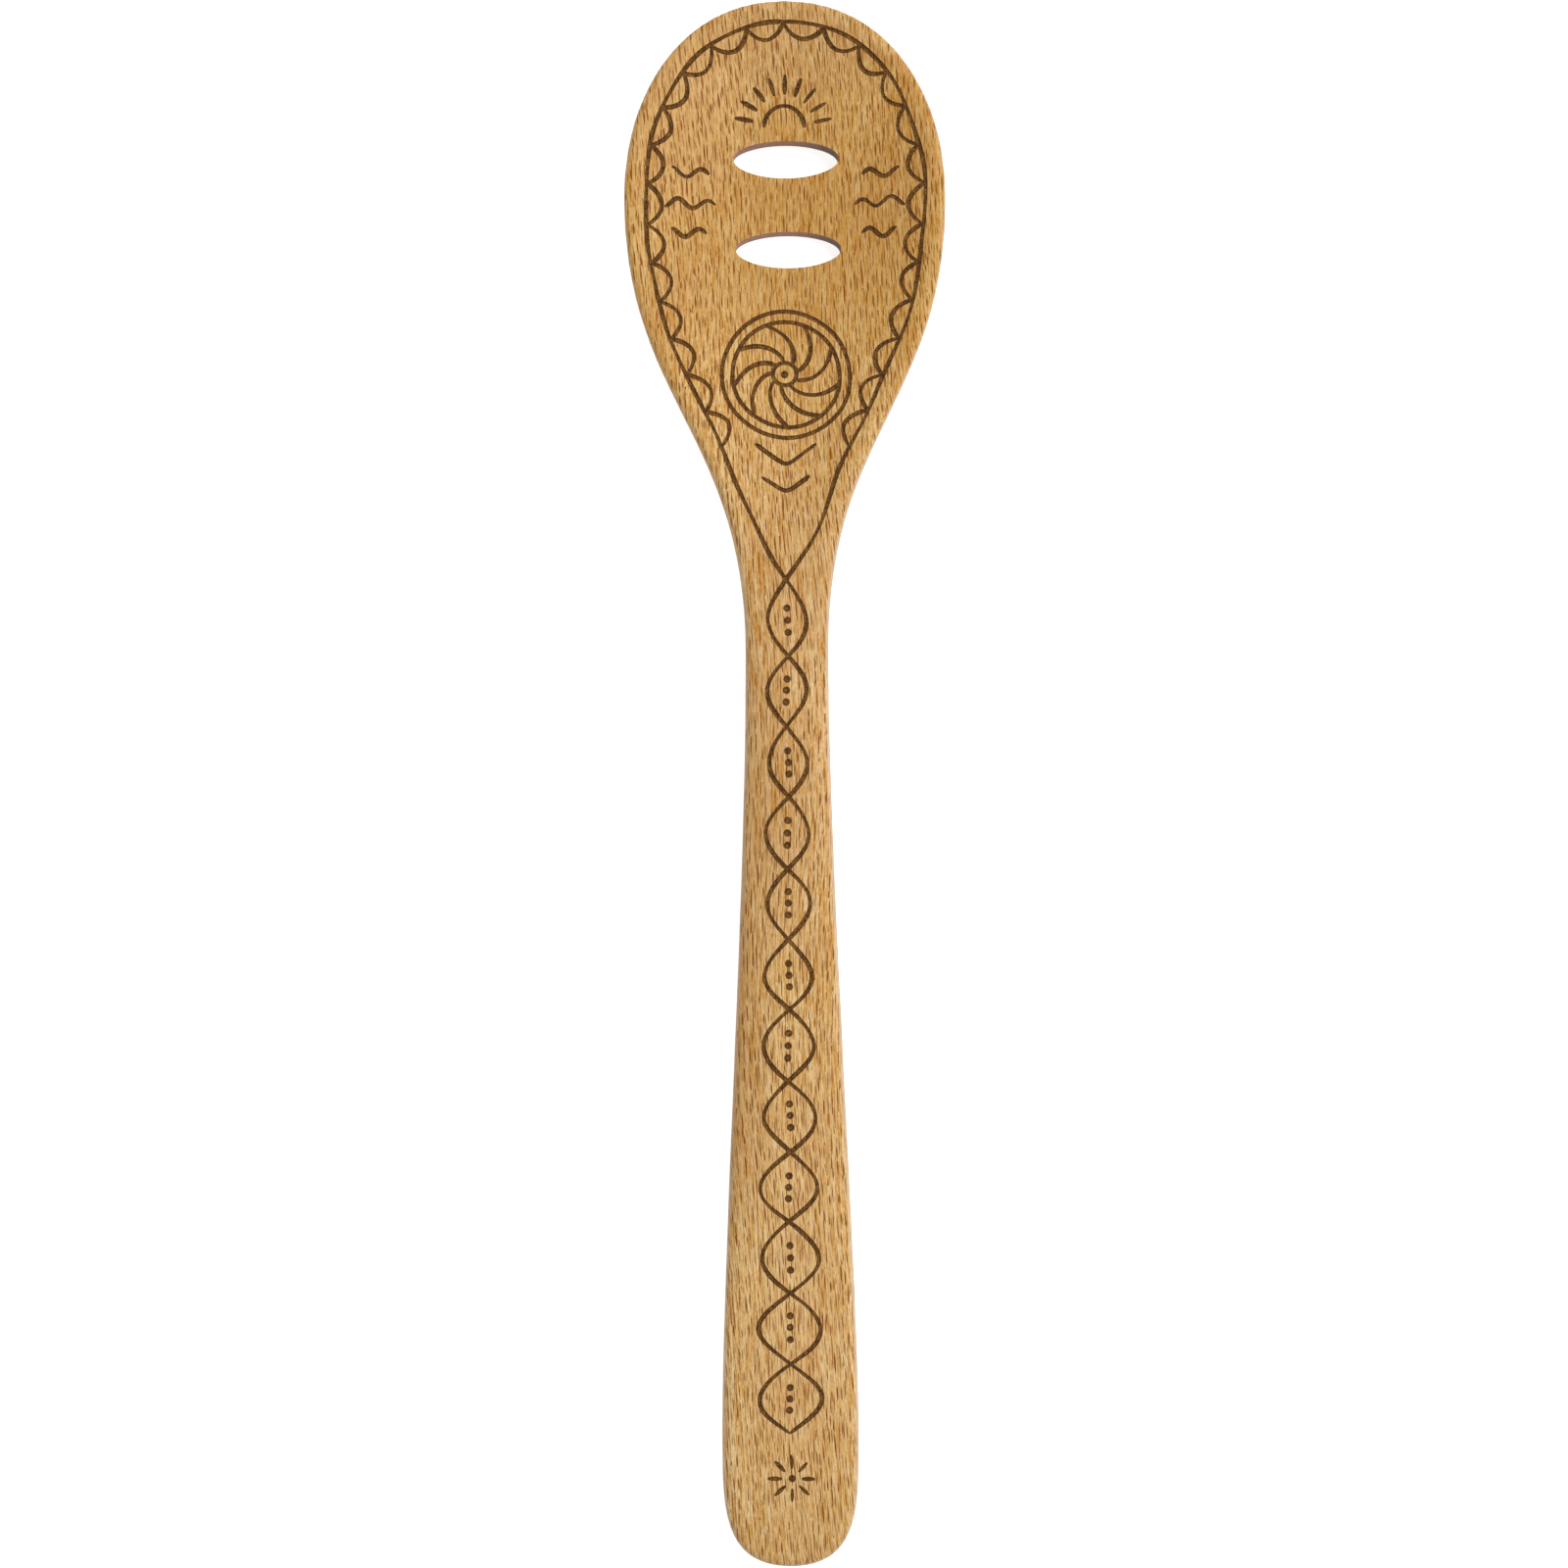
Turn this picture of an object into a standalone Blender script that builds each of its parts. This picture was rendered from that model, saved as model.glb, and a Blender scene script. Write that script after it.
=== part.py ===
"""Slotted wooden spoon, carved from one blank of beech and resting hollow side up.

Metres, +Z up, +Y towards the tip of the bowl, +X across. The origin is under the middle of the spoon, on
the surface that it rests on. In the functions, a place on the spoon is (across, along), with along
measured from the end of the handle.
"""

import math

import bmesh
import bpy
import numpy as np
from mathutils import Vector
from mathutils.geometry import interpolate_bezier

# Outline from above. Each knot has its place, its width and the reach of its curve handles.
SPOON_LENGTH = 0.305
END_HANDLE = 0.0135
GRIP_FROM_END = 0.0240
GRIP_WIDTH = 0.0268
GRIP_HANDLES = (0.0125, 0.0360)
NECK_FROM_TIP = 0.1260
NECK_WIDTH = 0.0162
NECK_HANDLES = (0.0460, 0.0430)
BOWL_WIDEST_FROM_TIP = 0.0380
BOWL_WIDTH = 0.0626
BOWL_HANDLES = (0.0400, 0.0190)
TIP_HANDLE = 0.0210

# Side profile. The face of the blank is one plane, and the handle is crowned a little on both faces.
GRIP_THICKNESS = 0.0084
NECK_THICKNESS = 0.0092
HANDLE_CROWN = 0.0008
UNDERSIDE_CROWN = 0.0011
HANDLE_FLAT_SHARE = 0.45
BOWL_FLAT_SHARE = 0.16
BOWL_DEEPEST_FROM_TIP = 0.0490
BOWL_DEPTH = 0.0066
BOWL_FLOOR = 0.0050
RIM_THICKNESS = 0.0034
HANDLE_EDGE_RADIUS = 0.0024
RIM_EDGE_RADIUS = 0.0013

# The grip and the belly are both sanded level by this much, so that the spoon lies still on a table.
REST_FLAT_DEPTH = 0.0003

# Where the handle's section begins to turn into the bowl's, and where the thin rim is reached.
HOLLOW_START_FROM_TIP = 0.1300
THIN_RIM_FROM_TIP = 0.0600

# Slots: ellipses that lie across the bowl and go straight through its floor.
SLOT_COUNT = 2
SLOT_LENGTH = 0.0205
SLOT_WIDTH = 0.0070
FIRST_SLOT_FROM_TIP = 0.0300
SLOT_SPACING = 0.0174

# Mesh density.
OUTLINE_STEPS = (12, 24, 30, 20)
FACE_STEPS = 9
ROUND_STEPS = 3
SLOT_STEPS = 64
FINE_STEPS = 400

# Points of the round ends run inwards towards this share of the end's length past its widest place.
END_FAN_SHARE = 0.4
# An edge is rounded by no more than this share of its own thickness.
MOST_ROUND_SHARE = 0.38
MERGE_DISTANCE = 0.00001
SMOOTH_ANGLE = math.radians(40)

BEECH_COLOUR = (0.61, 0.35, 0.14, 1.0)
BEECH_ROUGHNESS = 0.55

NECK = SPOON_LENGTH - NECK_FROM_TIP
WIDEST = SPOON_LENGTH - BOWL_WIDEST_FROM_TIP
DEEPEST = SPOON_LENGTH - BOWL_DEEPEST_FROM_TIP
HOLLOW_START = SPOON_LENGTH - HOLLOW_START_FROM_TIP
THIN_RIM = SPOON_LENGTH - THIN_RIM_FROM_TIP


def outline_spans():
    """The right-hand outline from the handle's end to the tip, as Bezier spans (knot, handle, handle, knot)."""
    end = Vector((0, 0))
    grip = Vector((GRIP_WIDTH / 2, GRIP_FROM_END))
    neck = Vector((NECK_WIDTH / 2, NECK))
    widest = Vector((BOWL_WIDTH / 2, WIDEST))
    tip = Vector((0, SPOON_LENGTH))
    along = Vector((0, 1))
    across = Vector((1, 0))
    return (
        (end, end + across * END_HANDLE, grip - along * GRIP_HANDLES[0], grip),
        (grip, grip + along * GRIP_HANDLES[1], neck - along * NECK_HANDLES[0], neck),
        (neck, neck + along * NECK_HANDLES[1], widest - along * BOWL_HANDLES[0], widest),
        (widest, widest + along * BOWL_HANDLES[1], tip + across * TIP_HANDLE, tip),
    )


def sample(span, steps):
    return [Vector(point) for point in interpolate_bezier(*span, steps + 1)]


FINE_OUTLINE = np.array([p[:] for span in outline_spans() for p in sample(span, FINE_STEPS)])


def half_width(along):
    return float(np.interp(along, FINE_OUTLINE[:, 1], FINE_OUTLINE[:, 0]))


def ease(along, start, stop):
    """0 before start, 1 after stop, and a smooth S between them."""
    t = min(max((along - start) / (stop - start), 0), 1)
    return t * t * (3 - 2 * t)


def mix(a, b, share):
    return a + (b - a) * share


def end_fade(along):
    """1 between the grip and the bowl's deepest place, falling to 0 as a parabola at both ends of the spoon."""
    if along < GRIP_FROM_END:
        return 1 - ((GRIP_FROM_END - along) / GRIP_FROM_END) ** 2
    if along > DEEPEST:
        return 1 - ((along - DEEPEST) / (SPOON_LENGTH - DEEPEST)) ** 2
    return 1


def face_height(along):
    """Height of the plane that the blank's face lies in: the bowl's rim, and the handle's upper edges."""
    at_grip = GRIP_THICKNESS - HANDLE_CROWN
    at_bowl = BOWL_FLOOR + BOWL_DEPTH
    return mix(at_grip, at_bowl, (along - GRIP_FROM_END) / (DEEPEST - GRIP_FROM_END))


def edge_thickness(along):
    thickness = mix(GRIP_THICKNESS, NECK_THICKNESS, (along - GRIP_FROM_END) / (NECK - GRIP_FROM_END))
    handle = thickness - HANDLE_CROWN - UNDERSIDE_CROWN
    return mix(handle, RIM_THICKNESS, ease(along, HOLLOW_START, THIN_RIM))


def hollow(along):
    """How far the upper face's middle lies under the face plane: negative on the crowned handle."""
    return end_fade(along) * mix(-HANDLE_CROWN, BOWL_DEPTH, ease(along, HOLLOW_START, DEEPEST))


def belly(along):
    """How far the underside's middle lies under the lower edge of the spoon's side."""
    bowl = BOWL_FLOOR + BOWL_DEPTH - RIM_THICKNESS
    return end_fade(along) * mix(UNDERSIDE_CROWN, bowl, ease(along, HOLLOW_START, DEEPEST))


def share_across(place):
    return min(abs(place.x) / max(half_width(place.y), MERGE_DISTANCE), 1)


def top(place):
    return face_height(place.y) - hollow(place.y) * (1 - share_across(place) ** 2)


def bottom(place):
    """The underside, with the flat band along its middle and the level flats that the spoon lies on."""
    flat = mix(HANDLE_FLAT_SHARE, BOWL_FLAT_SHARE, ease(place.y, HOLLOW_START, THIN_RIM))
    rise = (max(share_across(place) - flat, 0) / (1 - flat)) ** 2
    carved = face_height(place.y) - edge_thickness(place.y) - belly(place.y) * (1 - rise)
    return max(carved, REST_FLAT_DEPTH)


def edge_radius(along):
    radius = mix(HANDLE_EDGE_RADIUS, RIM_EDGE_RADIUS, ease(along, HOLLOW_START, THIN_RIM))
    return min(radius, MOST_ROUND_SHARE * edge_thickness(along))


def face_and_round(edge, foot, height, side):
    """One face of a rib, from the middle of the spoon outwards, and the round edge that it ends in.

    height gives the face's height, and side is 1 for the upper face and -1 for the underside. The round is
    an arc that leaves the face along its slope and ends upright on the outline.
    """
    inward = (foot - edge).normalized()
    radius = edge_radius(edge.y)
    outer = edge + inward * radius / 2
    inner = edge + inward * radius * 3 / 2
    slope = math.atan2(side * (height(outer) - height(inner)), radius)
    start = edge + inward * radius * (1 + math.sin(slope))
    centre = height(start) - side * radius * math.cos(slope)
    points = []
    for i in range(FACE_STEPS):
        place = foot.lerp(start, i / FACE_STEPS)
        points.append((place.x, place.y, height(place)))
    for i in range(ROUND_STEPS + 1):
        angle = mix(-slope, math.pi / 2, i / ROUND_STEPS)
        place = edge + inward * radius * (1 - math.sin(angle))
        points.append((place.x, place.y, centre + side * radius * math.cos(angle)))
    return points


def rib(edge, foot):
    """Half of a section: out along the upper face, round the edge and back along the underside."""
    upper = face_and_round(edge, foot, top, 1)
    under = face_and_round(edge, foot, bottom, -1)
    return upper + under[::-1]


def ribs():
    """A rib at each outline point, square to the outline, with its foot on the spoon's middle line."""
    found = []
    spans = outline_spans()
    for number, (span, steps) in enumerate(zip(spans, OUTLINE_STEPS)):
        places = sample(span, steps)
        last = number == len(spans) - 1
        for i, edge in enumerate(places if last else places[:-1]):
            if number == 0:
                foot_along = mix(GRIP_FROM_END, edge.y, END_FAN_SHARE)
            elif last:
                foot_along = mix(WIDEST, edge.y, END_FAN_SHARE)
            else:
                before = places[max(i - 1, 0)]
                after = places[i + 1]
                foot_along = edge.y + edge.x * (after.x - before.x) / (after.y - before.y)
            found.append(rib(edge, Vector((0, foot_along))))
    return found


def carve_half():
    """The right-hand half of the spoon as a loft over its ribs, open at the middle plane."""
    mesh = bmesh.new()
    rows = []
    for points in ribs():
        rows.append([mesh.verts.new((x, y - SPOON_LENGTH / 2, z)) for x, y, z in points])
    for row, following in zip(rows, rows[1:]):
        for i in range(len(row) - 1):
            mesh.faces.new((row[i], row[i + 1], following[i + 1], following[i]))
    bmesh.ops.remove_doubles(mesh, verts=mesh.verts, dist=MERGE_DISTANCE)
    bmesh.ops.recalc_face_normals(mesh, faces=mesh.faces)
    lowest = min(vert.co.z for vert in mesh.verts)
    bmesh.ops.translate(mesh, verts=mesh.verts, vec=(0, 0, -lowest))
    data = bpy.data.meshes.new("slotted_spoon")
    mesh.to_mesh(data)
    mesh.free()
    return data


def slot_cutter(number):
    """An upright elliptic cylinder that passes well clear of both faces of the bowl."""
    along = SPOON_LENGTH - FIRST_SLOT_FROM_TIP - number * SLOT_SPACING
    height = BOWL_FLOOR + BOWL_DEPTH
    bpy.ops.mesh.primitive_cylinder_add(
        vertices=SLOT_STEPS,
        radius=SLOT_LENGTH / 2,
        depth=height * 3,
        location=(0, along - SPOON_LENGTH / 2, height / 2),
    )
    cutter = bpy.context.object
    cutter.name = f"slot_cutter_{number + 1}"
    cutter.scale.y = SLOT_WIDTH / SLOT_LENGTH
    bpy.ops.object.transform_apply(location=False, rotation=False, scale=True)
    cutter.hide_render = True
    cutter.display_type = "WIRE"
    return cutter


def beech():
    material = bpy.data.materials.new("oiled_beech")
    material.use_nodes = True
    material.diffuse_color = BEECH_COLOUR
    shader = material.node_tree.nodes["Principled BSDF"]
    shader.inputs["Base Color"].default_value = BEECH_COLOUR
    shader.inputs["Roughness"].default_value = BEECH_ROUGHNESS
    shader.inputs["Metallic"].default_value = 0
    return material


def move_to(item, collection):
    for other in list(item.users_collection):
        other.objects.unlink(item)
    collection.objects.link(item)


def main():
    for item in list(bpy.data.objects):
        bpy.data.objects.remove(item)
    parts = bpy.data.collections.new("slotted_wooden_spoon")
    cutters = bpy.data.collections.new("cutters")
    bpy.context.scene.collection.children.link(parts)
    bpy.context.scene.collection.children.link(cutters)

    spoon = bpy.data.objects.new("slotted_spoon", carve_half())
    parts.objects.link(spoon)
    spoon.data.materials.append(beech())
    mirror = spoon.modifiers.new("other_half", "MIRROR")
    mirror.merge_threshold = MERGE_DISTANCE
    for number in range(SLOT_COUNT):
        cutter = slot_cutter(number)
        move_to(cutter, cutters)
        cut = spoon.modifiers.new(f"slot_{number + 1}", "BOOLEAN")
        cut.operation = "DIFFERENCE"
        cut.object = cutter
    spoon.data.shade_smooth()
    spoon.data.set_sharp_from_angle(angle=SMOOTH_ANGLE)


main()
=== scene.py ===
"""Looks for the slotted wooden spoon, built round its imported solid.

The meshes are in metres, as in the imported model: +Z up, +Y towards the tip of the bowl, +X across,
with the origin under the middle of the spoon. The ornament is laid out in millimetres as seen from
above, each place as (across, along).
"""

import math

import bpy
import numpy as np
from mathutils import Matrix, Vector
from mathutils.bvhtree import BVHTree


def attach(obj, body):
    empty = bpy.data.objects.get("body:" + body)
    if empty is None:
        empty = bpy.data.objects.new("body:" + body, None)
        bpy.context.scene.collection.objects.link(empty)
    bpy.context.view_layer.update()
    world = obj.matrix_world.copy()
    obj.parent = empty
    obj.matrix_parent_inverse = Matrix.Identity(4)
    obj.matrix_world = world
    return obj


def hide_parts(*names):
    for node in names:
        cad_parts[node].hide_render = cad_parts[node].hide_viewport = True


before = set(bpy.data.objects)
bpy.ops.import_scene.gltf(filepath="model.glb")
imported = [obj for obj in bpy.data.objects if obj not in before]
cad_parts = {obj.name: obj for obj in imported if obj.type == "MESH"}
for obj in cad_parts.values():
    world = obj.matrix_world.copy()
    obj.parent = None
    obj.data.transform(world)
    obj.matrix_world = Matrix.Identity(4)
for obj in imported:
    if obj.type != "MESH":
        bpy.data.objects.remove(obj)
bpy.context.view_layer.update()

MM = 0.001
WHITE = (1.0, 1.0, 1.0, 1.0)

# Camera, straight above the spoon, turned and moved a little as the photograph's was.
PICTURE_PIXELS = 1600
SENSOR_WIDTH = 36.0
CAMERA_HEIGHT = 0.600
CAMERA_ACROSS = -0.00070
CAMERA_ALONG = 0.00064
CAMERA_TURN = math.radians(-0.263)
PIXELS_PER_METRE_AT_ONE_METRE = 3105

# Light. The shares add up to 1, the level at which a colour renders as it is written.
LAMP_SHARE = 0.55
SKY_SHARE = 0.45
LAMP_DIRECTION = Vector((0.45, 0.30, 0.84)).normalized()
LAMP_DISTANCE = 1.3
LAMP_SIZE = 0.8
FLOOR_SIZE = 6.0
FLOOR_DROP = 0.0002
FLOOR_COLOUR = (0.88, 0.88, 0.88, 1.0)
FLOOR_ROUGHNESS = 0.9
FLOOR_SPECULAR = 0.1
FLOOR_GLOW = 0.78

# The spoon's mesh.
WELD = 0.00001
VOXEL = 0.00066
SANDING_STRENGTH = 0.5
SANDING_PASSES = 6
UNEVENNESS = 0.00012
UNEVENNESS_SIZE = 0.016
UNEVENNESS_MIDDLE = 0.75
CREASE = math.radians(28)

# Slots, in millimetres: their middles along the spoon, their half size, and how far each was cut off
# the middle. The cutter leaned, so that for each millimetre of depth the walls move this far to the
# left. Before the sanding the slots are this much smaller, so that the cutter leaves clean edges.
# Points within this squared share of a slot's half size belong to its wall.
SLOTS_ALONG = (122.5, 105.1)
SLOT_REACH = (10.3, 3.52)
SLOTS_ASIDE = (0.25, 0.7)
SLOT_LEAN = 0.03
SLOT_FACE_HEIGHT = 6.5
SLOT_TOOL_LENGTH = 30.0
SLOT_EDGES = 128
ROUGH_SLOT_SHARE = 0.65
ROUGH_SLOT_CATCH = 1.1

# Burnt lines, in millimetres. The profile runs from the line's middle outwards, as (across, height).
# Lines that come closer than the gap are cut one after another. Each line's width wobbles by a share,
# in a wave drawn between these radians a millimetre and these starts, and over the taper at its ends
# it grows from the end width by the gain.
LINE_STEP = 0.5
LINE_PROFILE = ((0.0, -0.25), (0.15, -0.235), (0.28, -0.175), (0.38, -0.08), (0.49, 0.03))
LINE_TOP = 0.5
LINE_GAP = 1.7
CORNER_PASSES = 6
WIDTH_WOBBLE = 0.15
WIDTH_WAVES = (0.25, 0.5)
WIDTH_STARTS = (0, 6.3)
WIDTH_SEED = 11
TAPER = 0.9
TAPER_END_WIDTH = 0.55
TAPER_GAIN = 0.45
DOT_RADIUS = 0.85
DOT_DEPTH = 0.22
DOT_EDGES = 20

# The unsteady hand: how far it strays, and its waves, in radians for each millimetre across and
# along, with the start of each.
HAND_WOBBLE = 0.15
SIDEWAYS_WAVES = ((0.0, 0.27, 0.9), (0.33, 0.19, 2.0))
LENGTHWAYS_WAVES = ((0.29, 0.0, 1.7), (0.24, -0.31, 0.4))

# Points of each curve before it is spaced evenly.
OUTLINE_POINTS = 361
ARC_POINTS = 49
SHORT_CURVE_POINTS = 25
TWIST_POINTS = 2001

# A height over the spoon, in metres, from which places on its upper face are looked up.
ABOVE_SPOON = 0.1

# Ornament, in millimetres. Along is measured from the middle of the spoon.
BORDER_INSET = 4.3
BOWL_MIDDLE = (0, 100)
SCALLOP_CHORD = 7.2
SCALLOP_DEPTH = 3.1
SCALLOP_FULLNESS = 0.75
SCALLOPS_END = 66.0
TWIST_START = 59.0
TWIST_LEAD_IN = 26.0
TWIST_NARROW = 34.0
TWIST_END = -126.0
TWIST_EYES = 12
TWIST_SHARE = 0.46
TWIST_DOT_GAP = 2.3
WHEEL_ALONG = 80.5
WHEEL_RADII = (12.4, 10.4, 2.3)
WHEEL_SPOKES = 9
WHEEL_SWEEP_DEGREES = 62
SUN_ALONG = 128.6
SUN_RADIUS = 3.9
SUN_RAYS = 9
SUN_RAY_REACH = (6.0, 9.6)
WAVE_START = 13.6
WAVE_HEIGHT = 0.85
WAVES = ((119.6, 1.25), (113.8, 1.75), (108.0, 1.25))
WAVE_LENGTH = 5.6
CHEVRONS = ((62.5, 6.0), (57.0, 4.6))
CHEVRON_RISE = 0.75
STAR_ALONG = -134.6
STAR_RAYS = 8
STAR_RAY_REACH = (1.9, 4.6)

# How far the grain leans across for each length along. Where the bowl starts, in millimetres, the
# carved face cuts the fibres across, so from there on each shows this much shorter.
GRAIN_LEAN = 0.04
BOWL_START = 50.0
CUT_ACROSS = 0.25

# The grain's broad sway and fine waver, in millimetres: the lumps of each, and how far it reaches.
GRAIN_WAVES = (
    ((50.0, 120.0, 50.0), 13.0),
    ((1.6, 8.0, 2.0), 0.22),
)

# Layers of the wood's tone, from fibres over strands and streaks to pores: the lumps of each in
# millimetres across, along and up, its detail, the noise levels between which it turns from tan to
# pale, and its share of the tone.
GRAIN_LAYERS = (
    ((0.3, 5.5, 0.8), 1.0, (0.4, 0.6), 0.42),
    ((0.62, 15.0, 1.6), 1.0, (0.39, 0.61), 0.22),
    ((2.4, 70.0, 4.0), 3.0, (0.3, 0.7), 0.08),
    ((0.22, 0.7, 0.4), 0.0, (0.34, 0.66), 0.28),
)

# Flecks, in millimetres: the room of each, its half width and half length, and a shift that keeps
# the bold and the fine ones apart. Chance adds to the least share of width, length and darkness.
BOLD_FLECKS = ((1.1, 4.3, 6.0), 0.155, 2.3, 3.7)
FINE_FLECKS = ((0.7, 3.4, 5.0), 0.11, 1.7, 41.3)
FINE_FLECK_STRENGTH = 0.6
FLECK_SCATTER = 0.9
FLECK_WIDTHS = (0.65, 0.7)
FLECK_LENGTHS = (0.5, 0.8)
FLECK_DARKNESS = (0.6, 0.4)
FLECK_SOFTNESS = 0.25

# Tints of the tan and the pale fibres, as they look on screen from 0 to 255. The bowl's pass into the
# handle's between these places along the spoon, in millimetres.
BOWL_FIBRES = ((189, 126, 14), (230, 195, 130))
HANDLE_FIBRES = ((197, 133, 20), (243, 215, 160))
BOWL_TO_HANDLE = (100.0, 35.0)

# Tints that lie over the fibres. The clouds have lumps of this size, in millimetres.
CLOUD_LUMPS = (20.0, 50.0, 20.0)
CLOUD_TINT = (188, 134, 62)
FLECK_TINT = (130, 69, 0)
# A painted pale reflection on the steep sides, standing in for the white surroundings seen at grazing
# angles.
SIDE_REFLECTION_TINT = (208, 164, 134)
# A painted highlight on the rounded upper edges, where they catch the light.
EDGE_HIGHLIGHT_TINT = (236, 208, 176)
# The slot walls' own sawn colour, then painted shade that darkens them towards their right ends.
SLOT_WALL_AND_SHADE_TINTS = ((172, 110, 74), (96, 54, 16))

# Broad patches of painted light and shade on the wood, in millimetres: the middle, the reach, the
# strength and the tint of each. The first is painted shade in the bottom of the hollow, the others are
# paler and darker patches painted where the light falls more or less on the bowl and the handle.
LIGHT_AND_SHADE_PATCHES = (
    ((3.0, 109.0), (24.0, 32.0), 0.33, (178, 124, 50)),
    ((-20.0, 133.0), (18.0, 24.0), 0.2, (236, 192, 140)),
    ((-24.0, 92.0), (12.0, 18.0), 0.3, (184, 130, 60)),
    ((25.0, 122.0), (14.0, 34.0), 0.2, (172, 116, 44)),
    ((3.0, 146.0), (24.0, 16.0), 0.2, (180, 142, 112)),
    ((0.0, 12.0), (16.0, 56.0), 0.15, (174, 104, 56)),
    ((-8.0, -4.0), (15.0, 36.0), 0.35, (184, 134, 70)),
    ((-13.0, -52.0), (12.0, 48.0), 0.5, (180, 128, 62)),
    ((1.0, -95.0), (11.0, 62.0), 0.25, (228, 184, 126)),
)

# Burnt wood: the lumps of its ragged edge, its patches and its spots, in millimetres, and its tints.
RAGGED_LUMPS = (0.3, 0.3, 0.3)
RAGGED_REACH = 0.12
CHAR_PATCH_LUMPS = (1.3, 1.3, 1.3)
CHAR_SPOT_LUMPS = (0.36, 0.36, 0.36)
CHAR_TINTS = ((133, 89, 30), (101, 63, 11))
CHAR_SHALLOW_TINT = (80, 46, 6)
CHAR_SPOT_TINT = (62, 34, 2)
CHAR_FLECK_TINT = (52, 28, 0)

# Finish of the oiled wood. Flecks, fibres and burnt wood add their own to the roughness.
WOOD_ROUGHNESS = 0.58
FLECK_ROUGHNESS = 0.1
FIBRE_ROUGHNESS = 0.12
BURNT_ROUGHNESS = 0.12
GRAIN_RELIEF = 0.012
BUMP_STRENGTH = 0.5
WOOD_IOR = 1.46
WOOD_SPECULAR = 0.22
SHEEN = 0.12
SHEEN_ROUGHNESS = 0.5
SHEEN_TINT = (0.95, 0.93, 1.0, 1.0)


def pick(item):
    """Makes this the only selected object, and the active one."""
    bpy.ops.object.select_all(action="DESELECT")
    item.select_set(True)
    bpy.context.view_layer.objects.active = item


def add_object(name, data):
    """A new object in the scene that shows this mesh, curve, lamp or camera."""
    item = bpy.data.objects.new(name, data)
    bpy.context.scene.collection.objects.link(item)
    return item


def apply_modifier(item, kind, **settings):
    pick(item)
    modifier = item.modifiers.new(kind.lower(), kind)
    for name, value in settings.items():
        setattr(modifier, name, value)
    bpy.ops.object.modifier_apply(modifier=modifier.name)


def apply_place(item):
    pick(item)
    bpy.ops.object.transform_apply(location=True, rotation=True, scale=True)


def weld(item):
    pick(item)
    bpy.ops.object.mode_set(mode="EDIT")
    bpy.ops.mesh.select_all(action="SELECT")
    bpy.ops.mesh.remove_doubles(threshold=WELD)
    bpy.ops.mesh.normals_make_consistent(inside=False)
    bpy.ops.object.mode_set(mode="OBJECT")


def cut(spoon, tool):
    """Cuts the tool's shape out of the spoon and takes the tool away."""
    apply_modifier(spoon, "BOOLEAN", operation="DIFFERENCE", solver="MANIFOLD", object=tool)
    bpy.data.objects.remove(tool)


def rough_slots(spoon):
    """Draws the walls of both slots together, as if they were only roughed out."""
    for vert in spoon.data.vertices:
        for along in SLOTS_ALONG:
            share = np.array((vert.co.x / MM, vert.co.y / MM - along)) / SLOT_REACH
            if share @ share < ROUGH_SLOT_CATCH:
                vert.co.x *= ROUGH_SLOT_SHARE
                vert.co.y = along * MM + (vert.co.y - along * MM) * ROUGH_SLOT_SHARE


def slot_tool(along, aside):
    """The leaning oval cutter that brings a slot to its size."""
    bpy.ops.mesh.primitive_cylinder_add(
        vertices=SLOT_EDGES,
        radius=MM,
        depth=SLOT_TOOL_LENGTH * MM,
        location=(aside * MM, along * MM, SLOT_FACE_HEIGHT * MM),
        scale=(*SLOT_REACH, 1),
    )
    tool = bpy.context.object
    apply_place(tool)
    for vert in tool.data.vertices:
        vert.co.x -= SLOT_LEAN * (SLOT_FACE_HEIGHT * MM - vert.co.z)
    return tool


def sanded_blank():
    """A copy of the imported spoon, meshed finely and sanded: no facet shows and the edges are eased."""
    spoon = add_object("spoon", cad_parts["slotted_spoon"].data.copy())
    weld(spoon)
    rough_slots(spoon)
    apply_modifier(spoon, "REMESH", mode="VOXEL", voxel_size=VOXEL, use_smooth_shade=True)
    apply_modifier(spoon, "SMOOTH", factor=SANDING_STRENGTH, iterations=SANDING_PASSES)
    clouds = bpy.data.textures.new("unevenness", "CLOUDS")
    clouds.noise_scale = UNEVENNESS_SIZE
    apply_modifier(
        spoon,
        "DISPLACE",
        texture=clouds,
        texture_coords="LOCAL",
        strength=UNEVENNESS,
        mid_level=UNEVENNESS_MIDDLE,
    )
    for along, aside in zip(SLOTS_ALONG, SLOTS_ASIDE):
        cut(spoon, slot_tool(along, aside))
    return spoon


def surface_of(item):
    """The mesh as a tree that places are looked up in."""
    return BVHTree.FromObject(item, bpy.context.evaluated_depsgraph_get())


def outline_from_above():
    """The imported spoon's right-hand outline, in millimetres, from the handle's end to the tip."""
    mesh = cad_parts["slotted_spoon"].data
    places = np.array([vert.co for vert in mesh.vertices]) / MM
    edges = np.array([edge.vertices for edge in mesh.edges])
    start = places[edges[:, 0]]
    stop = places[edges[:, 1]]
    half_length = places[:, 1].max()
    outline = []
    for angle in np.linspace(-math.pi / 2, math.pi / 2, OUTLINE_POINTS)[1:-1]:
        along = half_length * math.sin(angle)
        crossing = (start[:, 1] - along) * (stop[:, 1] - along) < 0
        a = start[crossing]
        b = stop[crossing]
        share = (along - a[:, 1]) / (b[:, 1] - a[:, 1])
        outline.append((np.max(a[:, 0] + (b[:, 0] - a[:, 0]) * share), along))
    return np.array([(0, -half_length), *outline, (0, half_length)])


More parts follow.
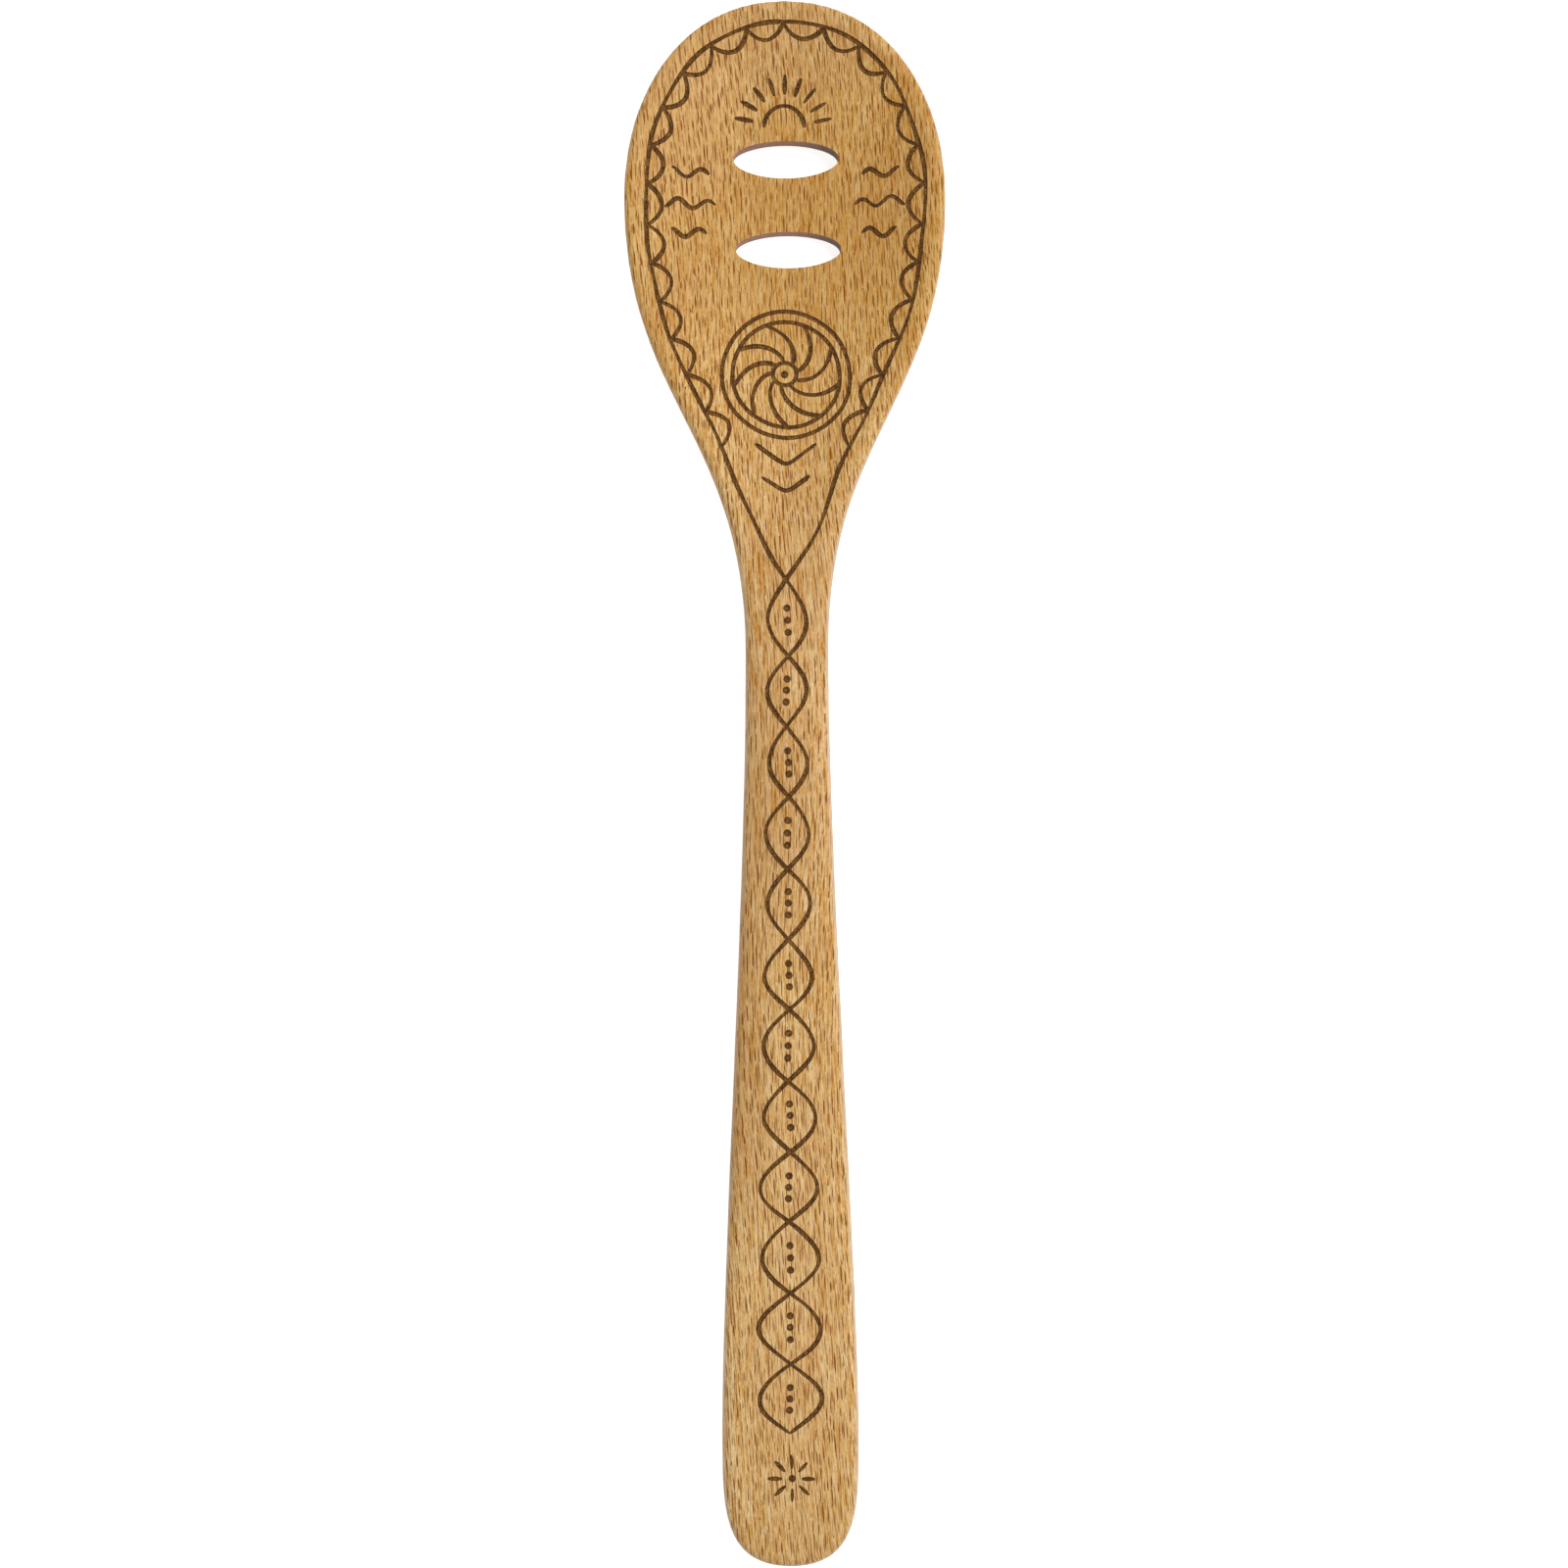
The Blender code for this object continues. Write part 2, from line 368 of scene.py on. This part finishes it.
def inset(outline, distance):
    """The outline moved inwards, as far as the spoon's middle line."""
    tangent = np.gradient(outline, axis=0)
    tangent[0] = (1, 0)
    tangent[-1] = (-1, 0)
    tangent /= np.linalg.norm(tangent, axis=1)[:, None]
    moved = outline + np.column_stack((-tangent[:, 1], tangent[:, 0])) * distance
    return moved[moved[:, 0] >= 0]


def ease(value, start, stop):
    """0 at start, 1 at stop, and a smooth S between them."""
    t = np.clip((value - start) / (stop - start), 0, 1)
    return t * t * (3 - 2 * t)


def travelled(points):
    """How far along the line each of its points lies."""
    lengths = np.linalg.norm(np.diff(points, axis=0), axis=1)
    return np.concatenate(([0], np.cumsum(lengths)))


def points_at(places, travel, points):
    """The points that lie this far along a line."""
    return np.column_stack([np.interp(places, travel, points[:, i]) for i in range(2)])


def evenly(points, closed=False):
    """The same line with its points about a line step apart."""
    points = np.asarray(points, float)
    if closed:
        points = np.vstack((points, points[:1]))
    travel = travelled(points)
    steps = max(int(round(travel[-1] / LINE_STEP)), 2)
    even = points_at(np.linspace(0, travel[-1], steps + 1), travel, points)
    return even[:-1] if closed else even


def rounded(points):
    """An open line with its corners eased, as a hand with a hot tip rounds them."""
    points = evenly(points)
    for _ in range(CORNER_PASSES):
        points[1:-1] = (points[:-2] + 2 * points[1:-1] + points[2:]) / 4
    return points


def arc(centre, radius, start, stop):
    """Points of an arc, its angles in degrees anticlockwise from across."""
    angles = np.radians(np.linspace(start, stop, ARC_POINTS))
    return centre + radius * np.column_stack((np.cos(angles), np.sin(angles)))


def ring(centre, radius):
    return arc(centre, radius, 0, 360)[:-1]


def turned(points, degrees, centre):
    angle = math.radians(degrees)
    turn = np.array(((math.cos(angle), -math.sin(angle)), (math.sin(angle), math.cos(angle))))
    return (np.asarray(points) - centre) @ turn.T + centre


def mirrored(points):
    return np.asarray(points) * (-1, 1)


def twist_turn(along):
    """How far the twist has turned at this place, in crossings. It sets in softly under the bowl."""
    travel = np.maximum(TWIST_START - along, 0)
    slow = travel**2 / (2 * TWIST_LEAD_IN)
    eased = np.where(travel < TWIST_LEAD_IN, slow, travel - TWIST_LEAD_IN / 2)
    whole = TWIST_START - TWIST_END - TWIST_LEAD_IN / 2
    return eased / whole * (TWIST_EYES + 0.5)


def strand(outline):
    """One of the two border lines: from the tip down the bowl's side, then winding down the handle."""
    border = inset(outline, BORDER_INSET)[::-1]
    bowl = border[border[:, 1] > TWIST_START]
    along = np.arange(TWIST_START, TWIST_END, -LINE_STEP / 2)
    half_width = np.interp(along, outline[:, 1], outline[:, 0])
    straight = np.interp(along, border[::-1, 1], border[::-1, 0])
    share = ease(along, TWIST_START, TWIST_NARROW)
    reach = straight * (1 - share) + TWIST_SHARE * half_width * share
    across = reach * np.cos(np.pi * twist_turn(along))
    return np.vstack((bowl, np.column_stack((across, along)), ((0, TWIST_END),)))


def twist_dots():
    """Three dots in each eye of the twist."""
    along = np.linspace(TWIST_START, TWIST_END, TWIST_POINTS)
    found = []
    for eye in range(1, TWIST_EYES + 1):
        middle = float(np.interp(eye, twist_turn(along), along))
        found += [(0, middle + TWIST_DOT_GAP), (0, middle), (0, middle - TWIST_DOT_GAP)]
    return found


def scallops(outline):
    """Arcs that hang side by side on the border's inner side, from the tip down the bowl's side."""
    border = inset(outline, BORDER_INSET)[::-1]
    border = border[border[:, 1] > SCALLOPS_END]
    travel = travelled(border)
    count = int(travel[-1] // SCALLOP_CHORD)
    feet = np.linspace(0, travel[-1], count + 1)
    bulge = np.sin(np.linspace(0, np.pi, SHORT_CURVE_POINTS)) ** SCALLOP_FULLNESS
    found = []
    for first, last in zip(feet[:-1], feet[1:]):
        line = points_at(np.linspace(first, last, SHORT_CURVE_POINTS), travel, border)
        tangent = (line[-1] - line[0]) / np.linalg.norm(line[-1] - line[0])
        inward = np.array((tangent[1], -tangent[0]))
        if inward @ (np.array(BOWL_MIDDLE) - line[SHORT_CURVE_POINTS // 2]) < 0:
            inward = -inward
        found.append(line + inward * SCALLOP_DEPTH * bulge[:, None])
    return found


def wheel():
    """A whirling wheel: two rings, a hub and curved spokes."""
    centre = np.array((0, WHEEL_ALONG))
    _, inner, hub = WHEEL_RADII
    lines = [(ring(centre, radius), True) for radius in WHEEL_RADII]
    reach = np.linspace(hub, inner, SHORT_CURVE_POINTS)
    sweep = np.radians(WHEEL_SWEEP_DEGREES) * (reach - hub) / (inner - hub)
    spoke = np.column_stack((reach * np.cos(sweep), reach * np.sin(sweep))) + centre
    for number in range(WHEEL_SPOKES):
        lines.append((turned(spoke, 90 + 360 * number / WHEEL_SPOKES, centre), False))
    return lines


def sun():
    """Half a sun that rises over the upper slot."""
    centre = np.array((0, SUN_ALONG))
    near, far = SUN_RAY_REACH
    lines = [(arc(centre, SUN_RADIUS, 0, 180), False)]
    for number in range(SUN_RAYS):
        angle = math.radians(180 * (number + 0.5) / SUN_RAYS)
        way = np.array((math.cos(angle), math.sin(angle)))
        lines.append((np.array((centre + way * near, centre + way * far)), False))
    return lines


def waves():
    """Three short rows of ripples on each side of the slots."""
    most_crests = max(crests for _, crests in WAVES)
    found = []
    for along, crests in WAVES:
        shift = (most_crests - crests) * WAVE_LENGTH / 2
        travel = np.linspace(0, crests * WAVE_LENGTH, ARC_POINTS)
        ripple = WAVE_HEIGHT * np.sin(2 * np.pi * travel / WAVE_LENGTH)
        line = np.column_stack((WAVE_START + shift + travel, along + ripple))
        found += [(line, False), (mirrored(line), False)]
    return found


def chevron(along, half_width):
    rise = half_width * CHEVRON_RISE
    corners = ((-half_width, along + rise), (0, along), (half_width, along + rise))
    return rounded(corners), False


def star():
    """Short rays round a dot, at the handle's end."""
    near, far = STAR_RAY_REACH
    centre = np.array((0, STAR_ALONG))
    ray = centre + np.array(((0, near), (0, far)))
    return [(turned(ray, 360 * number / STAR_RAYS, centre), False) for number in range(STAR_RAYS)]


def ornament(outline):
    """All burnt lines, each with whether it is closed, and the middles of all burnt dots."""
    lines = []
    for line in [strand(outline)] + scallops(outline):
        lines += [(line, False), (mirrored(line), False)]
    lines += wheel() + sun() + waves() + star()
    lines += [chevron(*place) for place in CHEVRONS]
    dots = [(0, WHEEL_ALONG), (0, STAR_ALONG)] + twist_dots()
    return lines, dots


def by_hand(points):
    """The points moved as an unsteady hand would, in the same way wherever lines meet."""
    across, along = points.T
    strays = [
        sum(np.sin(a * across + b * along + start) for a, b, start in hand_waves)
        for hand_waves in (SIDEWAYS_WAVES, LENGTHWAYS_WAVES)
    ]
    return points + HAND_WOBBLE * np.column_stack(strays)


def apart(line, other, gap):
    """Whether two lines stay further apart than this all along."""
    if np.any(line.min(0) - gap > other.max(0)) or np.any(other.min(0) - gap > line.max(0)):
        return True
    away = line[:, None, :] - other[None, :, :]
    return float(np.min(np.sum(away * away, axis=2))) > gap * gap


def sorted_apart(lines):
    """The lines in groups, in each of which no two lines meet, so that a group is cut in one go."""
    groups = []
    for line in lines:
        for group in groups:
            if all(apart(line[0], other[0], LINE_GAP) for other in group):
                group.append(line)
                break
        else:
            groups.append([line])
    return groups


def line_profile():
    """The section of the tool that burns a line, closed above the wood."""
    right = list(LINE_PROFILE) + [(LINE_PROFILE[-1][0], LINE_TOP)]
    left = [(-across, height) for across, height in right[:0:-1]]
    section = right + left
    curve = bpy.data.curves.new("line_profile", "CURVE")
    curve.dimensions = "2D"
    curve.fill_mode = "NONE"
    spline = curve.splines.new("POLY")
    spline.points.add(len(section) - 1)
    for point, (across, height) in zip(spline.points, section):
        point.co = (across * MM, height * MM, 0, 1)
    spline.use_cyclic_u = True
    return add_object("line_profile", curve)


def on_surface(surface, points):
    """The points of a line, raised from the plan to the spoon's upper face, in metres."""
    down = Vector((0, 0, -1))
    found = []
    for across, along in points:
        place, _, _, _ = surface.ray_cast(Vector((across * MM, along * MM, ABOVE_SPOON)), down)
        found.append(place)
    return found


def line_widths(count, closed, dice):
    """The share of its width that a line has at each of its points."""
    travel = np.arange(count) * LINE_STEP
    sway = np.sin(travel * dice.uniform(*WIDTH_WAVES) + dice.uniform(*WIDTH_STARTS))
    width = 1 + WIDTH_WOBBLE * sway
    if closed:
        return np.full(count, width.mean())
    ends = np.minimum(travel, travel[::-1])
    return width * (TAPER_END_WIDTH + TAPER_GAIN * ease(ends, 0, TAPER))


def line_tool(group, surface, profile, dice):
    """The solid that cuts a group of lines: one swept profile for each."""
    curve = bpy.data.curves.new("line_tool", "CURVE")
    curve.dimensions = "3D"
    curve.twist_mode = "Z_UP"
    curve.bevel_mode = "OBJECT"
    curve.bevel_object = profile
    curve.use_fill_caps = True
    for points, closed in group:
        places = on_surface(surface, points)
        widths = line_widths(len(places), closed, dice)
        spline = curve.splines.new("POLY")
        spline.points.add(len(places) - 1)
        for point, place, width in zip(spline.points, places, widths):
            point.co = (*place, 1)
            point.radius = width
        spline.use_cyclic_u = closed
    pick(add_object("line_tool", curve))
    bpy.ops.object.convert(target="MESH")
    tool = bpy.context.object
    weld(tool)
    return tool


def dot_tool(dots, surface):
    """The solid that burns the dots: a ball for each, sunk a little into the wood."""
    radius = (DOT_RADIUS**2 + DOT_DEPTH**2) / (2 * DOT_DEPTH)
    balls = []
    for place in on_surface(surface, dots):
        bpy.ops.mesh.primitive_uv_sphere_add(
            segments=DOT_EDGES,
            ring_count=DOT_EDGES,
            radius=radius * MM,
            location=place + Vector((0, 0, (radius - DOT_DEPTH) * MM)),
        )
        balls.append(bpy.context.object)
    for ball in balls:
        ball.select_set(True)
    bpy.ops.object.join()
    tool = bpy.context.object
    apply_place(tool)
    return tool


def burn_ornament(spoon):
    """Cuts the ornament into the spoon's face, and keeps how deep each point lies for the material."""
    surface = surface_of(spoon)
    lines, dots = ornament(outline_from_above())
    lines = [(by_hand(evenly(points, closed)), closed) for points, closed in lines]
    dots = by_hand(np.array(dots, float))
    dice = np.random.default_rng(WIDTH_SEED)
    profile = line_profile()
    for group in sorted_apart(lines):
        cut(spoon, line_tool(group, surface, profile, dice))
    cut(spoon, dot_tool(dots, surface))
    bpy.data.objects.remove(profile)
    depth = spoon.data.attributes.new("burn_depth", "FLOAT", "POINT")
    values = [surface.find_nearest(vert.co)[3] / MM for vert in spoon.data.vertices]
    depth.data.foreach_set("value", values)


class Wire:
    """An output socket in a material's node tree. Arithmetic on it adds Math nodes to the tree."""

    def __init__(self, socket):
        self.socket = socket

    def node(self, kind, settings=None, inputs=None, output=0):
        """Adds a node of this kind with its settings and inputs, and returns one of its outputs."""
        tree = self.socket.id_data
        made = tree.nodes.new("ShaderNode" + kind)
        for name, value in (settings or {}).items():
            setattr(made, name, value)
        for name, value in (inputs or {}).items():
            if isinstance(value, Wire):
                value.to(made.inputs[name])
            else:
                made.inputs[name].default_value = value
        return Wire(made.outputs[output])

    def to(self, socket):
        """Feeds an input socket of the same tree."""
        self.socket.id_data.links.new(self.socket, socket)

    def other(self, output):
        """Another output of the same node."""
        return Wire(self.socket.node.outputs[output])

    def math(self, operation, *values):
        return self.node("Math", {"operation": operation}, dict(enumerate(values)))

    def __add__(self, value):
        return self.math("ADD", self, value)

    def __radd__(self, value):
        return self.math("ADD", value, self)

    def __sub__(self, value):
        return self.math("SUBTRACT", self, value)

    def __rsub__(self, value):
        return self.math("SUBTRACT", value, self)

    def __mul__(self, value):
        return self.math("MULTIPLY", self, value)

    def __rmul__(self, value):
        return self.math("MULTIPLY", value, self)

    def __truediv__(self, value):
        return self.math("DIVIDE", self, value)

    def __abs__(self):
        return self.math("ABSOLUTE", self)

    def vector(self, operation, value):
        """Vector Math of this and a vector, or a plain scale by a number."""
        if operation == "SCALE":
            return self.node("VectorMath", {"operation": operation}, {0: self, "Scale": value})
        return self.node("VectorMath", {"operation": operation}, {0: self, 1: value})

    def parts(self):
        first = self.node("SeparateXYZ", inputs={0: self})
        return first, first.other(1), first.other(2)

    def ease(self, start, stop):
        """0 at start, 1 at stop, and a smooth S between them."""
        settings = {"interpolation_type": "SMOOTHSTEP"}
        return self.node("MapRange", settings, {0: self, 1: start, 2: stop})

    def mix(self, first, second):
        """The first colour where this is 0 and the second where it is 1."""
        settings = {"data_type": "RGBA"}
        return self.node("Mix", settings, {0: self, 6: first, 7: second}, 2)


def colour(red, green, blue):
    """A colour as it looks on screen, from 0 to 255, as the linear values that a shader takes."""
    linear = []
    for value in (red, green, blue):
        share = value / 255
        linear.append(share / 12.92 if share <= 0.04045 else ((share + 0.055) / 1.055) ** 2.4)
    return (*linear, 1.0)


def between(factor, tints):
    """The first tint where the factor is 0 and the second where it is 1."""
    first, second = tints
    return factor.mix(colour(*first), colour(*second))


def tinted(wood, factor, tint):
    """The wood with this tint laid over it, as strongly as the factor says."""
    return factor.mix(wood, colour(*tint))


def noise(place, size, detail=2.0):
    """Smooth noise from 0 to 1, with lumps of this size in millimetres across, along and up."""
    scaled = place.vector("DIVIDE", size)
    return place.node("TexNoise", inputs={"Vector": scaled, "Scale": 1.0, "Detail": detail})


def by_chance(dice, shares):
    """The least share, and more of it as the dice say."""
    least, more = shares
    return least + more * dice


def flecks(grain, room, half_width, half_length, shift):
    """Spindle-shaped dashes along the grain, about one to each room of this size in millimetres."""
    spot = grain.vector("DIVIDE", room).vector("ADD", (shift, shift, shift))
    inputs = {"Vector": spot, "Scale": 1.0, "Randomness": FLECK_SCATTER}
    heart = spot.node("TexVoronoi", inputs=inputs, output="Position")
    across, along, _ = spot.vector("SUBTRACT", heart).vector("MULTIPLY", room).parts()
    dice, second_dice, third_dice = heart.other("Color").parts()
    aside = abs(across) / (half_width * by_chance(dice, FLECK_WIDTHS))
    beyond = along / (half_length * by_chance(second_dice, FLECK_LENGTHS))
    spindle = 1 - aside - beyond * beyond
    return spindle.ease(0.0, FLECK_SOFTNESS) * by_chance(third_dice, FLECK_DARKNESS)


def oval(place, middle, reach):
    """0 in the middle of an upright oval cylinder and 1 on its surface, squared."""
    scaled = place.vector("SUBTRACT", (*middle, 0.0)).vector("DIVIDE", (*reach, 1.0))
    across, along, _ = scaled.parts()
    return across * across + along * along


def beech_grain(place):
    """The place measured along the grain, which leans and sways a little through the blank."""
    across, along, up = place.parts()
    aside = across + along * GRAIN_LEAN
    for lumps, reach in GRAIN_WAVES:
        aside = aside + (noise(place, lumps, 1.0) - 0.5) * reach
    travel = along + along.math("MAXIMUM", along - BOWL_START, 0.0) * CUT_ACROSS
    return place.node("CombineXYZ", inputs={0: aside, 1: travel, 2: up})


def fresh_wood(place, along, layers):
    """The colour of the plank, tan and pale fibres, with broad patches of painted light and shade over
    them.
    """
    tone = sum(
        layer.ease(*levels) * share
        for layer, (_, _, levels, share) in zip(layers, GRAIN_LAYERS)
    )
    bowl_wood = between(tone, BOWL_FIBRES)
    handle_wood = between(tone, HANDLE_FIBRES)
    wood = along.ease(*BOWL_TO_HANDLE).mix(bowl_wood, handle_wood)
    wood = tinted(wood, noise(place, CLOUD_LUMPS).ease(0.45, 0.75) * 0.3, CLOUD_TINT)
    # Painted light and shade: broad lighter and darker patches laid over the wood.
    for middle, reach, strength, tint in LIGHT_AND_SHADE_PATCHES:
        wood = tinted(wood, oval(place, middle, reach).ease(1.0, 0.0) * strength, tint)
    return wood


def painted_edges_and_slot_walls(wood, place, across, upward, side):
    """The wood with painted reflection paling its sides, a painted highlight on its rounded upper edges,
    and its slots' walls in their sawn colour with painted shade towards their right ends.
    """
    # Painted reflection: the steep sides are paled towards a light pinkish tint.
    wood = tinted(wood, side * 0.3, SIDE_REFLECTION_TINT)
    # Painted highlight on the rounded upper edges, stronger on the right, the lamp's side.
    edge = upward.ease(0.85, 0.4) * upward.ease(0.0, 0.35)
    wood = tinted(wood, edge * (0.2 + 0.3 * across.ease(-6.0, 6.0)), EDGE_HIGHLIGHT_TINT)
    ovals = [oval(place, middle, SLOT_REACH) for middle in zip(SLOTS_ASIDE, SLOTS_ALONG)]
    near_slot = ovals[0].math("MINIMUM", *ovals)
    slot_wall = side * near_slot.ease(1.5, 1.35)
    # The slot walls take their sawn colour, darkened by painted shade towards the right, away from the
    # lamp.
    return (slot_wall * 0.85).mix(wood, between(across.ease(1.0, 9.0), SLOT_WALL_AND_SHADE_TINTS))


def charred(place, depth, marks):
    """The colour of burnt wood: brown in patches, darker in spots, flecks and shallow places."""
    char = between(noise(place, CHAR_PATCH_LUMPS, 1.0).ease(0.35, 0.65), CHAR_TINTS)
    char = tinted(char, depth.ease(0.2, 0.1), CHAR_SHALLOW_TINT)
    char = tinted(char, noise(place, CHAR_SPOT_LUMPS, 1.0).ease(0.46, 0.66), CHAR_SPOT_TINT)
    return tinted(char, marks * 0.7, CHAR_FLECK_TINT)


def oiled_beech():
    """Beech with pale and tan fibres, short brown flecks along the grain, and browned burnt lines."""
    material = bpy.data.materials.new("oiled_beech")
    material.use_nodes = True
    tree = material.node_tree
    shader = tree.nodes["Principled BSDF"].inputs
    place = Wire(tree.nodes.new("ShaderNodeTexCoord").outputs["Object"]).vector("SCALE", 1 / MM)
    across, along, _ = place.parts()
    _, _, upward = place.node("NewGeometry", output="Normal").parts()
    side = 1 - abs(upward).ease(0.15, 0.7)

    grain = beech_grain(place)
    layers = [noise(grain, lumps, detail) for lumps, detail, _, _ in GRAIN_LAYERS]
    fibres = layers[0]
    both = flecks(grain, *BOLD_FLECKS) + flecks(grain, *FINE_FLECKS) * FINE_FLECK_STRENGTH
    marks = both.math("MINIMUM", both, 1.0) * (1 - side * 0.5)
    wood = tinted(fresh_wood(place, along, layers), marks, FLECK_TINT)
    wood = painted_edges_and_slot_walls(wood, place, across, upward, side)

    depth = place.node("Attribute", {"attribute_name": "burn_depth"}, output="Fac")
    ragged = depth + (noise(place, RAGGED_LUMPS) - 0.5) * RAGGED_REACH
    burnt = ragged.ease(0.02, 0.1)
    burnt.mix(wood, charred(place, depth, marks)).to(shader["Base Color"])

    roughness = WOOD_ROUGHNESS + marks * FLECK_ROUGHNESS + (fibres - 0.5) * FIBRE_ROUGHNESS
    (roughness + burnt * BURNT_ROUGHNESS).to(shader["Roughness"])
    height = (fibres - 0.5) * GRAIN_RELIEF - marks * GRAIN_RELIEF
    inputs = {"Strength": BUMP_STRENGTH, "Distance": MM, "Height": height}
    place.node("Bump", inputs=inputs).to(shader["Normal"])
    shader["IOR"].default_value = WOOD_IOR
    shader["Specular IOR Level"].default_value = WOOD_SPECULAR
    shader["Sheen Weight"].default_value = SHEEN
    shader["Sheen Roughness"].default_value = SHEEN_ROUGHNESS
    shader["Sheen Tint"].default_value = SHEEN_TINT
    return material


def seen_directly(tree):
    """1 for what is seen of a surface, also by reflection or through glass, and 0 for its light."""
    path = Wire(tree.nodes.new("ShaderNodeLightPath").outputs["Is Camera Ray"])
    seen = path.math("MAXIMUM", path, path.other("Is Glossy Ray"))
    return seen.math("MAXIMUM", seen, path.other("Is Transmission Ray"))


def floor():
    """A pale floor that keeps the spoon's shadow and is seen as white elsewhere."""
    bpy.ops.mesh.primitive_plane_add(size=FLOOR_SIZE, location=(0, 0, -FLOOR_DROP))
    ground = bpy.context.object
    ground.name = "floor"
    material = bpy.data.materials.new("pale_floor")
    material.use_nodes = True
    tree = material.node_tree
    shader = tree.nodes["Principled BSDF"]
    shader.inputs["Base Color"].default_value = FLOOR_COLOUR
    shader.inputs["Roughness"].default_value = FLOOR_ROUGHNESS
    shader.inputs["Specular IOR Level"].default_value = FLOOR_SPECULAR
    seen = seen_directly(tree)
    glow = seen.node("Emission", inputs={"Color": WHITE, "Strength": seen * FLOOR_GLOW})
    white = seen.node("AddShader", inputs={0: Wire(shader.outputs[0]), 1: glow})
    white.to(tree.nodes["Material Output"].inputs["Surface"])
    ground.data.materials.append(material)


def sky():
    """An even pale sky that lights the scene at its share, and is seen as white."""
    world = bpy.data.worlds.new("sky")
    world.use_nodes = True
    bpy.context.scene.world = world
    background = world.node_tree.nodes["Background"]
    background.inputs["Color"].default_value = WHITE
    strength = SKY_SHARE + seen_directly(world.node_tree) * (1 - SKY_SHARE)
    strength.to(background.inputs["Strength"])


def lamp():
    """One wide soft lamp, as strong as makes its share of the light on a level surface."""
    light = bpy.data.lights.new("lamp", "AREA")
    light.shape = "DISK"
    light.size = LAMP_SIZE
    light.energy = LAMP_SHARE * math.pi**2 * LAMP_DISTANCE**2 / LAMP_DIRECTION.z
    holder = add_object("lamp", light)
    holder.location = LAMP_DIRECTION * LAMP_DISTANCE
    holder.rotation_mode = "QUATERNION"
    holder.rotation_quaternion = LAMP_DIRECTION.to_track_quat("Z", "Y")


def camera():
    lens = bpy.data.cameras.new("camera")
    lens.sensor_width = SENSOR_WIDTH
    lens.lens = PIXELS_PER_METRE_AT_ONE_METRE * SENSOR_WIDTH / PICTURE_PIXELS
    holder = add_object("camera", lens)
    holder.location = (CAMERA_ACROSS, CAMERA_ALONG, CAMERA_HEIGHT)
    holder.rotation_euler = (0, 0, CAMERA_TURN)
    bpy.context.scene.camera = holder


bpy.ops.object.select_all(action="DESELECT")
bpy.context.scene.view_settings.view_transform = "Standard"
camera()
sky()
lamp()
floor()

spoon = sanded_blank()
burn_ornament(spoon)
spoon.data.materials.clear()
spoon.data.materials.append(oiled_beech())
pick(spoon)
bpy.ops.object.shade_smooth_by_angle(angle=CREASE)
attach(spoon, "root")
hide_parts("slotted_spoon")
